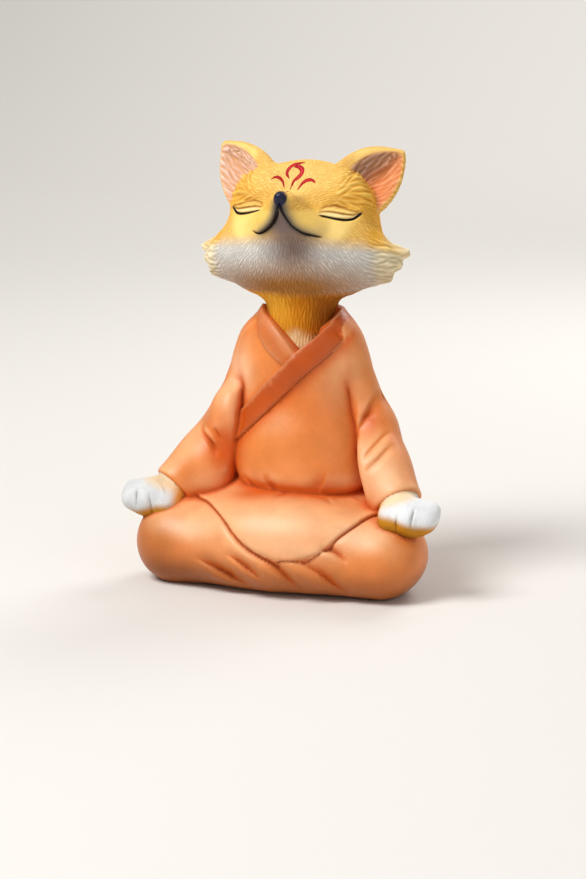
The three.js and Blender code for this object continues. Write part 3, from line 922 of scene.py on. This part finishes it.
def mark_gap(p):
    """How far outside the strokes of the forehead mark, in millimetres."""
    x, y, z = p.T
    gaps = []
    for line, half in MARK:
        left, along = line(x, z)
        gaps.append(np.abs(left) - half * np.sin(np.pi * np.clip(along, 0.02, 0.98)) ** 0.6)
    return np.where((z > 114) & (y < 17), np.min(gaps, axis=0), FAR)


def ink_gap(p):
    """How far outside the black lines of the mouth and the lashes, in millimetres."""
    _, y, z = p.T
    left, along = mouth(p)
    lip = np.abs(left) - 0.3 - 0.3 * ramp(-along, -0.5, -0.1) + 0.3 * ramp(along, 0.8, 1)
    eye_x, _, eye_z = eye_level(p).T
    left, along = lid_foot(eye_x, eye_z)
    lash = np.abs(left + 0.1) - 0.22 - 0.2 * along + 0.4 * ramp(along, 0.9, 1) + 0.25 * ramp(-along, -0.1, 0)
    lip = np.where(y < 3, lip, FAR)
    return np.minimum(lip, np.where((y < 14) & (z > 106), lash, FAR))


# Node materials

# What several nodes are set to
COLOURS = {"data_type": "RGBA"}
TINTED = {"data_type": "RGBA", "blend_type": "MULTIPLY"}
SMOOTH = {"interpolation_type": "SMOOTHSTEP"}


def add(material, kind, settings=None, **links):
    """Adds a node with its settings and links. A link names an input, or gives its number after an
    i, and holds a socket or a value."""
    node = material.node_tree.nodes.new(kind)
    for key, value in (settings or {}).items():
        setattr(node, key, value)
    for key, value in links.items():
        numbered = key[0] == "i" and key[1:].isdigit()
        socket = node.inputs[int(key[1:]) if numbered else key.replace("_", " ")]
        if isinstance(value, bpy.types.NodeSocket):
            material.node_tree.links.new(value, socket)
        else:
            socket.default_value = value
    return node


def painted_resin(paint):
    """Cast polyester resin, sprayed and brushed with satin acrylic paint. The robe is smooth with a
    soft sheen, the carved fur is duller, and the nose and the lines of the face are glossy enamel."""
    material = bpy.data.materials.new("painted_resin")
    material.use_nodes = True
    material.node_tree.nodes.clear()
    place = add(material, "ShaderNodeTexCoord").outputs["Object"]
    held = {
        name: add(material, "ShaderNodeAttribute", {"attribute_name": name}).outputs
        for name in ("robe_paint", "fur_paint", "deep", "seam", "mark", "edge", "ink", "nose")
    }
    plain = {name: (*colour, 1) for name, colour in paint.items()}
    painted_shade = (*(paint["robe_dark"] * 0.85), 1)

    # Over the robe come thin brown painted shadow lines along its edges, its sharpest folds and its
    # cuffs, the fur, the red glaze of the mark with a paler painted highlight down the middle of each
    # stroke, and the black enamel. Each has the distance that it goes by, from where to where its edge
    # fades, how much it covers before and after that, and its colour.
    colour = held["robe_paint"]["Color"]
    cover = {}
    for name, near, far, inside, outside, coat in (
        ("edge", 0.05, 0.32, 0.7, 0.0, painted_shade),
        ("seam", -0.08, 0.08, 0.0, 1.0, held["fur_paint"]["Color"]),
        ("mark", -0.06, 0.08, 1.0, 0.0, plain["mark"]),
        # A painted highlight down the middle of each stroke of the mark
        ("mark", -0.55, -0.2, 1.0, 0.0, plain["mark_light"]),
        ("ink", -0.08, 0.12, 1.0, 0.0, plain["ink"]),
        ("nose", -0.1, 0.25, 1.0, 0.0, plain["nose"]),
    ):
        gap = held[name]["Fac"]
        share = add(material, "ShaderNodeMapRange", SMOOTH, i0=gap, i1=near, i2=far, i3=inside, i4=outside)
        cover[name] = share.outputs[0]
        colour = add(material, "ShaderNodeMix", COLOURS, i0=cover[name], i6=colour, i7=coat).outputs[2]

    # Pigment is uneven: cloudy over about 6 mm, and speckled at about 0.5 mm.
    cloud = add(material, "ShaderNodeTexNoise", i0=place, Scale=1 / 0.006, Detail=3.0).outputs["Fac"]
    speckle = add(material, "ShaderNodeTexNoise", i0=place, Scale=1 / 0.0005, Detail=2.0).outputs["Fac"]
    shade = add(material, "ShaderNodeMapRange", i0=cloud, i1=0.3, i2=0.7, i3=0.93, i4=1.06).outputs[0]
    grain = add(material, "ShaderNodeMapRange", i0=speckle, i1=0.3, i2=0.7, i3=0.97, i4=1.03).outputs[0]
    both = add(material, "ShaderNodeMath", {"operation": "MULTIPLY"}, i0=shade, i1=grain).outputs[0]
    grey = add(material, "ShaderNodeCombineColor", i0=both, i1=both, i2=both).outputs[0]
    colour = add(material, "ShaderNodeMix", TINTED, i0=1.0, i6=colour, i7=grey).outputs[2]

    # The robe's paint is satin, the fur's duller and the enamel wet. All of it is matt where it has
    # pooled in creases.
    wet = add(material, "ShaderNodeMath", {"operation": "MAXIMUM"}, i0=cover["nose"], i1=cover["ink"])
    rough = 0.38
    for share, start, end, rougher in (
        (cover["seam"], 0.0, 1.0, 0.55),
        (wet.outputs[0], 0.0, 1.0, 0.25),
        (held["deep"]["Fac"], 0.1, 0.8, 0.9),
    ):
        step = add(material, "ShaderNodeMapRange", i0=share, i1=start, i2=end, i3=rough, i4=rougher)
        rough = step.outputs[0]

    # The skin of brushed paint: low waves about 1 mm across, and a fine tooth
    waves = add(material, "ShaderNodeTexNoise", i0=place, Scale=1 / 0.001, Detail=3.0).outputs["Fac"]
    skin = add(material, "ShaderNodeBump", Height=waves, Strength=0.12, Distance=0.0002).outputs[0]
    tooth = add(material, "ShaderNodeBump", Height=speckle, Strength=0.1, Distance=0.0001, Normal=skin)
    shader = add(
        material, "ShaderNodeBsdfPrincipled",
        Base_Color=colour, Roughness=rough, Normal=tooth.outputs[0], IOR=1.36,
    )
    add(material, "ShaderNodeOutputMaterial", Surface=shader.outputs[0])
    return material


def stage_paint(colour):
    """Matt emulsion on a smooth board: even, with no gloss."""
    material = bpy.data.materials.new("stage_paint")
    material.use_nodes = True
    shader = material.node_tree.nodes["Principled BSDF"]
    shader.inputs["Base Color"].default_value = (*colour[:3], 1)
    shader.inputs["Roughness"].default_value = 0.85
    return material


# Settings

def colour_setting(name, description, hexes):
    """A colour that a user can change, from its sRGB hex."""
    return bpy.props.FloatVectorProperty(
        name=name, description=description, default=tuple(linear(hexes)), subtype="COLOR", min=0, max=1
    )


class FoxSizes(bpy.types.PropertyGroup):
    """How finely and how deep the figurine is carved"""
    grain: bpy.props.FloatProperty(
        name="Grain", description="Spacing of the clay's first mesh", default=0.0005, unit="LENGTH"
    )
    stroke_depth: bpy.props.FloatProperty(
        name="Stroke depth", description="How deep the fur strokes are cut, as a share", default=1.0
    )
    faces: bpy.props.IntProperty(
        name="Faces", description="How many triangles the finished figurine may have", default=196000
    )


class FoxColours(bpy.types.PropertyGroup):
    """The paints"""
    robe: colour_setting("Robe", "The robe's own orange", "#E08240")
    # The robe's painted light and highlights, and its painted shade towards the underside, in its folds and
    # in its creases
    robe_light: colour_setting("Robe light", "Peach on the parts that stand out", "#F4B580")
    robe_shine: colour_setting("Robe shine", "Pale peach on the crests", "#FFCFA6")
    robe_low: colour_setting("Robe low", "Brown-orange towards the underside", "#9A5422")
    robe_deep: colour_setting("Robe deep", "Red-orange sprayed in the folds", "#D25608")
    robe_dark: colour_setting("Robe dark", "Brown wash in the creases", "#8A3208")
    robe_band: colour_setting("Robe band", "The bands of the collar", "#B44608")
    gold: colour_setting("Gold", "The fur's golden yellow", "#FCC640")
    amber: colour_setting("Amber", "The sides of the head", "#FCB11A")
    cream: colour_setting("Cream", "The middle of the forehead and under the eyes", "#FADC8C")
    lid: colour_setting("Lid", "The rims of the eyelids", "#F8DC9A")
    # Ochre, partly painted shade under the brow
    ochre: colour_setting("Ochre", "The brow over the eyes", "#B27213")
    white: colour_setting("White", "The cheeks", "#EAEBEA")
    mauve: colour_setting("Mauve", "The chin", "#7C6862")
    jaw: colour_setting("Jaw", "Under the chin", "#B07838")
    throat: colour_setting("Throat", "The neck", "#DC9000")
    # Painted shade for the neck's other side and under the paws, and the brown of the lid lines
    throat_shade: colour_setting("Throat shade", "The neck's other side and the soles", "#985800")
    tuft: colour_setting("Tuft", "Cheek locks and the tuft at the collar", "#FFF3CF")
    muzzle: colour_setting("Muzzle", "The muzzle's upper sides", "#F5CC66")
    grey: colour_setting("Grey", "Sprayed over the lips", "#807F76")
    soot: colour_setting("Soot", "Sprayed by the mouth and nose", "#37332F")
    ear: colour_setting("Ear", "The ears' rims and backs", "#F8D07A")
    orange: colour_setting("Orange", "Where the ears leave the head", "#E08A30")
    flesh: colour_setting("Flesh", "Inside the left ear", "#F2A77A")
    pink: colour_setting("Pink", "Inside the right ear", "#F8D8CC")
    # Painted shade under the rims of the ears' cups
    flesh_shade: colour_setting("Flesh shade", "The upper inside of the ears", "#C0A090")
    wrist: colour_setting("Wrist", "The paws behind the toes", "#FCE0B8")
    paw: colour_setting("Paw", "The paws' white toes", "#ECEFF2")
    gilt: colour_setting("Gilt", "Golden brown under the paws", "#C88812")
    mark: colour_setting("Mark", "The mark on the forehead", "#A60412")
    # A painted highlight for the middle of the mark's strokes
    mark_light: colour_setting("Mark light", "The middle of the mark's strokes", "#D6303A")
    ink: colour_setting("Ink", "The lines of the mouth and lashes", "#170F0C")
    nose: colour_setting("Nose", "The nose", "#141834")


class FoxStage(bpy.types.PropertyGroup):
    """What stands round the figurine, and the camera"""
    floor: colour_setting("Floor", "The floor and the air round it", "#E4E1DC")
    azimuth: bpy.props.FloatProperty(
        name="Azimuth", description="Where the camera stands", default=math.radians(20), subtype="ANGLE"
    )
    elevation: bpy.props.FloatProperty(
        name="Elevation", description="How high it stands", default=math.radians(9), subtype="ANGLE"
    )
    distance: bpy.props.FloatProperty(
        name="Distance", description="From the camera to the fox", default=0.65, unit="LENGTH"
    )
    lens: bpy.props.FloatProperty(name="Lens", description="Focal length in millimetres", default=87.8)


# Operators

# Measures of the carving, in millimetres
SHALLOWEST = 0.02  # no stroke is cut where it would be less deep than this
# A stroke's dark is brown paint deepened by painted shade.
PAINTED_DEPTH = 0.16  # from this depth on a stroke holds all of its dark wash
MARGIN = 0.001  # how far the carved surface stays inside the box of the solid
RIDGE = 0.35  # how much of the depth of the strokes stands up between them, as a share


def clay():
    """A copy of the solid as one even mesh, fine enough to carve. It keeps how deep each place lies
    in the small hollows and in the broad ones."""
    settings = bpy.context.scene.fox_sizes
    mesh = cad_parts[NODE].data.copy()
    bm = bmesh.new()
    bm.from_mesh(mesh)
    bmesh.ops.remove_doubles(bm, verts=bm.verts, dist=1e-6)
    bm.to_mesh(mesh)
    bm.free()
    mesh = modified("clay", mesh, "REMESH", mode="VOXEL", voxel_size=settings.grain)
    settle(mesh, figurine, 3)
    p, n = places(mesh), read(mesh, "normal")
    fine = smoothed(mesh, p, 6)
    broad = smoothed(mesh, fine, 60)
    keep(mesh, "hollow_fine", dots(fine - p, n))
    keep(mesh, "hollow_broad", dots(broad - p, n))
    return mesh


def refine(mesh):
    """Splits the faces of the head, throat and paws, where the carving is finest."""
    p = places(mesh)
    x, y, z = p.T
    fine = (fur(p) < robe(p) + 0.2) & (y < 24) & ((z > 66) | (np.abs(x) > 30))
    bm = bmesh.new()
    bm.from_mesh(mesh)
    bm.verts.ensure_lookup_table()
    chosen = [face for face in bm.faces if all(fine[v.index] for v in face.verts)]
    edges = list({edge for face in chosen for edge in face.edges})
    bmesh.ops.subdivide_edges(bm, edges=edges, cuts=1, use_grid_fill=True)
    bm.to_mesh(mesh)
    bm.free()
    mesh.update()


def carve(mesh):
    """Cuts the fur strokes."""
    settings = bpy.context.scene.fox_sizes
    p, n = places(mesh), read(mesh, "normal")
    lie, spacing, length, depth = lie_of_fur(p, n)
    seam = robe(p) - fur(p)
    depth *= ramp(seam, 0, 0.6) * settings.stroke_depth
    rows = np.flatnonzero(depth > SHALLOWEST)
    stroke = comb(p, n, lie, spacing, length, rows, seed=7)
    keep(mesh, "stroke", stroke * np.clip(depth / PAINTED_DEPTH, 0, 1))
    put(mesh, p + n * (depth * (RIDGE - stroke))[:, None])


def dress(mesh, paint):
    """Gives each vertex its paint and its distance to the painted lines."""
    p, n = places(mesh), read(mesh, "normal")
    fine, broad = read(mesh, "hollow_fine", 1), read(mesh, "hollow_broad", 1)
    stroke = read(mesh, "stroke", 1)
    robe_coat, deep = paint_robe(p, n, fine, broad, paint)
    for name, coat in (("fur_paint", paint_fur(p, fine, stroke, paint)), ("robe_paint", robe_coat)):
        keep(mesh, name, np.column_stack([coat, np.ones(len(p))]))
    keep(mesh, "deep", np.maximum(deep, stroke))
    keep(mesh, "seam", robe(p) - fur(p))
    keep(mesh, "mark", mark_gap(p))
    keep(mesh, "edge", shadow_line_gap(p))
    keep(mesh, "ink", ink_gap(p))
    keep(mesh, "nose", np.where(p[:, 2] > 111, nose_paint(p), FAR))


class FOX_OT_figurine(bpy.types.Operator):
    """Carves the figurine on a copy of its solid and paints it"""
    bl_idname = "fox.figurine"
    bl_label = "Carve and paint the fox"

    def execute(self, context):
        chosen = context.scene.fox_colours
        paint = {name: np.array(getattr(chosen, name)) for name in FoxColours.__annotations__}
        mesh = clay()
        refine(mesh)
        settle(mesh, figurine, 2)
        carve(mesh)
        mesh = modified("carved", mesh, "TRIANGULATE")
        share = min(1.0, context.scene.fox_sizes.faces / len(mesh.polygons))
        mesh = modified("light", mesh, "DECIMATE", ratio=share)
        low, high = (np.array(corner) / MM + MIDDLE for corner in CAD_BOX)
        put(mesh, np.clip(places(mesh), low + MARGIN, high - MARGIN))
        dress(mesh, paint)
        mesh.shade_smooth()
        mesh.materials.clear()
        mesh.materials.append(painted_resin(paint))
        figure = bpy.data.objects.new("fox", mesh)
        context.collection.objects.link(figure)
        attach(figure, "root")
        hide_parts(NODE)
        return {"FINISHED"}


def area_light(name, place, aim, size, power):
    """A square soft light, aimed at a place."""
    light = bpy.data.lights.new(name, "AREA")
    light.size, light.energy = size, power
    lamp = bpy.data.objects.new(name, light)
    lamp.location = place
    lamp.rotation_euler = (Vector(place) - Vector(aim)).to_track_quat("Z", "Y").to_euler()
    bpy.context.collection.objects.link(lamp)


def sweep():
    """A broad floor that curves up far behind, so that no horizon shows."""
    half_width, bend, radius, top = 30, 1.5, 2.5, 8
    bm = bmesh.new()
    corners = [bm.verts.new((x, -half_width, 0)) for x in (half_width, -half_width)]

    def drawn_out(edges, vector):
        made = bmesh.ops.extrude_edge_only(bm, edges=edges)["geom"]
        verts = [item for item in made if isinstance(item, bmesh.types.BMVert)]
        bmesh.ops.translate(bm, verts=verts, vec=vector)
        return [item for item in made if isinstance(item, bmesh.types.BMEdge)]

    edges = drawn_out([bm.edges.new(corners)], (0, bend + half_width, 0))
    turned = bmesh.ops.spin(
        bm, geom=edges, cent=(0, bend, radius), axis=(1, 0, 0), angle=math.pi / 2, steps=24
    )["geom_last"]
    edges = [item for item in turned if isinstance(item, bmesh.types.BMEdge)]
    drawn_out(edges, (0, 0, top - radius))
    mesh = bpy.data.meshes.new("floor")
    bm.to_mesh(mesh)
    bm.free()
    mesh.shade_smooth()
    return mesh


class FOX_OT_stage(bpy.types.Operator):
    """Sets the floor, the soft light and the camera"""
    bl_idname = "fox.stage"
    bl_label = "Set the stage"

    def execute(self, context):
        settings = context.scene.fox_stage
        low, high = CAD_BOX
        centre = (low + high) / 2
        mesh = sweep()
        mesh.materials.append(stage_paint(settings.floor))
        floor = bpy.data.objects.new("floor", mesh)
        context.collection.objects.link(floor)

        world = bpy.data.worlds.new("air")
        world.use_nodes = True
        air = world.node_tree.nodes["Background"]
        air.inputs["Color"].default_value = (*settings.floor, 1)
        air.inputs["Strength"].default_value = 0.38
        context.scene.world = world
        # Daylight from the left in front, a weak fill from the right, a wash on the wall behind, and
        # a soft rim on the figurine's back. Sizes are in metres, powers in watts.
        area_light("window", (-0.38, -0.5, 0.85), centre, 0.45, 9.5)
        area_light("fill", (0.7, -0.5, 0.35), centre, 0.6, 1.2)
        area_light("wall", (0, 1, 2.2), (0, 3.8, 0.9), 1.5, 55)
        area_light("rim", (0.2, 0.6, 0.6), centre, 0.4, 2.5)

        # The camera goes round the fox's middle, and is aimed a little below and beside it, so that
        # the fox stands where it does in the photograph.
        turn, rise = settings.azimuth, settings.elevation
        level = math.cos(rise)
        away = Vector((math.sin(turn) * level, -math.cos(turn) * level, math.sin(rise)))
        right = Vector((math.cos(turn), math.sin(turn), 0))
        up = away.cross(right)
        middle = Vector((0, -0.004, 0.0653))
        beside, below = 0.0015, 0.0205
        camera = bpy.data.objects.new("camera", bpy.data.cameras.new("camera"))
        camera.data.lens = settings.lens
        camera.data.clip_start, camera.data.clip_end = 0.01, 50
        camera.location = middle + away * settings.distance
        aim = middle + right * beside - up * below
        camera.rotation_euler = (camera.location - aim).to_track_quat("Z", "Y").to_euler()
        context.collection.objects.link(camera)
        context.scene.camera = camera
        context.scene.view_settings.view_transform = "Standard"
        return {"FINISHED"}


class FOX_PT_panel(bpy.types.Panel):
    """Buttons for the figurine and its stage"""
    bl_idname = "FOX_PT_panel"
    bl_label = "Meditating fox"
    bl_space_type = "VIEW_3D"
    bl_region_type = "UI"
    bl_category = "Fox"

    def draw(self, context):
        for operator in (FOX_OT_figurine, FOX_OT_stage):
            self.layout.operator(operator.bl_idname)
        for group in (context.scene.fox_sizes, context.scene.fox_colours, context.scene.fox_stage):
            box = self.layout.box()
            for name in type(group).__annotations__:
                box.prop(group, name)


CLASSES = (FoxSizes, FoxColours, FoxStage, FOX_OT_figurine, FOX_OT_stage, FOX_PT_panel)
GROUPS = {"fox_sizes": FoxSizes, "fox_colours": FoxColours, "fox_stage": FoxStage}


def register():
    """Adds the settings, the operators and the panel."""
    for cls in CLASSES:
        bpy.utils.register_class(cls)
    for name, group in GROUPS.items():
        setattr(bpy.types.Scene, name, bpy.props.PointerProperty(type=group))


def unregister():
    """Takes them away again."""
    for name in GROUPS:
        delattr(bpy.types.Scene, name)
    for cls in reversed(CLASSES):
        bpy.utils.unregister_class(cls)


def main():
    """Makes the fox and its stage."""
    register()
    bpy.ops.fox.figurine()
    bpy.ops.fox.stage()


if __name__ == "__main__":
    main()
